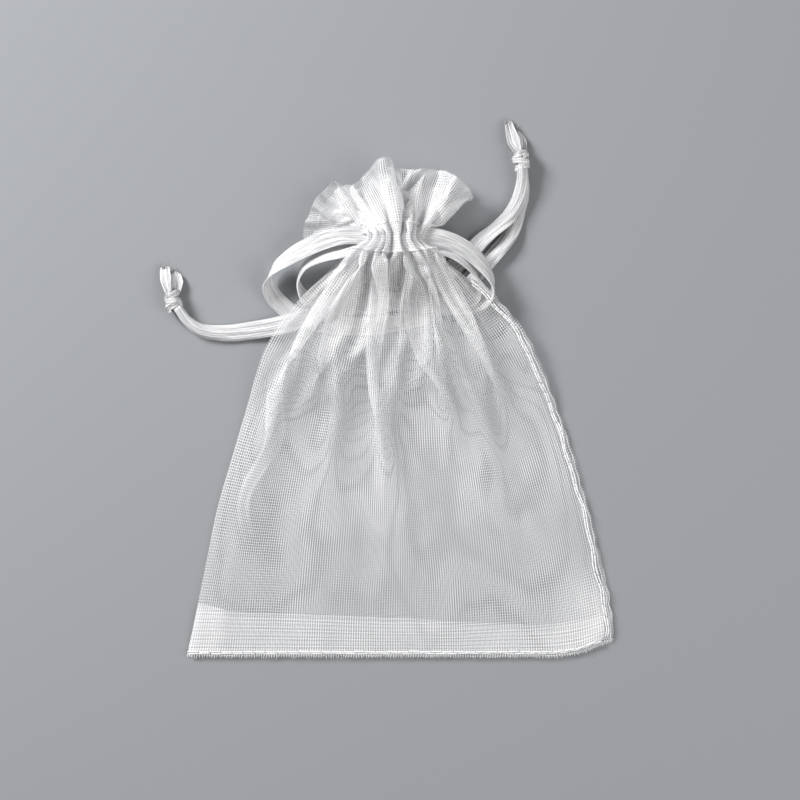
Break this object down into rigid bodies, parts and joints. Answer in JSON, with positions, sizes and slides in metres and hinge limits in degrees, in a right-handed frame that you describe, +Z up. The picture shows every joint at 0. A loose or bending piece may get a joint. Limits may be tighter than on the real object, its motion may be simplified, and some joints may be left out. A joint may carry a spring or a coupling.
{
  "type": "drawstring gift pouch",
  "caption": "Small sheer organza gift pouch lying flat, neck gathered shut by two flat ribbon drawstrings with knotted ends under a frilled heading.",
  "frame": {"origin": "on the table, at the centre of the lying pouch's box, without its loose ribbons", "axes": "+X along the bottom seam towards the sewn side, +Y from the bottom seam to the frilled mouth, +Z up from the table"},
  "size_m": [0.075, 0.0881, 0.0104],
  "materials": {
    "organza": "sheer plain-woven organza with a soft sheen",
    "ribbon": "woven satin ribbon with lengthwise ribs",
    "thread": "twisted sewing thread"
  },
  "bodies": {
    "pouch": {"front_panel": "organza", "back_panel": "organza", "bottom_seam": "organza", "side_seam": "organza", "bottom_stitches": "thread", "side_stitches": "thread", "casing_front": "organza", "casing_back": "organza", "casing_stitches": "thread", "heading_front": "organza", "heading_back": "organza", "ribbon_a_casing": "ribbon", "ribbon_b_casing": "ribbon", "ribbon_a_curve_outer": "ribbon", "ribbon_a_curve_inner": "ribbon", "ribbon_b_curve_outer": "ribbon", "ribbon_b_curve_inner": "ribbon"},
    "ribbon_a_run": {"ribbon_a_run_outer": "ribbon", "ribbon_a_run_inner": "ribbon"},
    "ribbon_a_end": {"ribbon_a_end_outer": "ribbon", "ribbon_a_end_inner": "ribbon", "ribbon_a_knot": "ribbon", "ribbon_a_tails": "ribbon"},
    "ribbon_b_run": {"ribbon_b_run_outer": "ribbon", "ribbon_b_run_inner": "ribbon"},
    "ribbon_b_end": {"ribbon_b_end_outer": "ribbon", "ribbon_b_end_inner": "ribbon", "ribbon_b_knot": "ribbon", "ribbon_b_tails": "ribbon"}
  },
  "joints": [
    {"name": "ribbon_a_pull", "type": "slide", "parent": "pouch", "child": "ribbon_a_run", "axis": [0.7071, 0.7071, 0], "range_m": [0, 0.01]},
    {"name": "ribbon_a_swing", "type": "hinge", "parent": "ribbon_a_run", "child": "ribbon_a_end", "pos_m": [0.0138, 0.0258, 0.0003], "axis": [0, 0, 1], "range_deg": [-35, 20]},
    {"name": "ribbon_b_pull", "type": "slide", "parent": "pouch", "child": "ribbon_b_run", "axis": [-0.99, -0.141, 0], "range_m": [0, 0.01]},
    {"name": "ribbon_b_swing", "type": "hinge", "parent": "ribbon_b_run", "child": "ribbon_b_end", "pos_m": [-0.0184, 0.0138, 0.0006], "axis": [0, 0, 1], "range_deg": [-25, 15]}
  ]
}
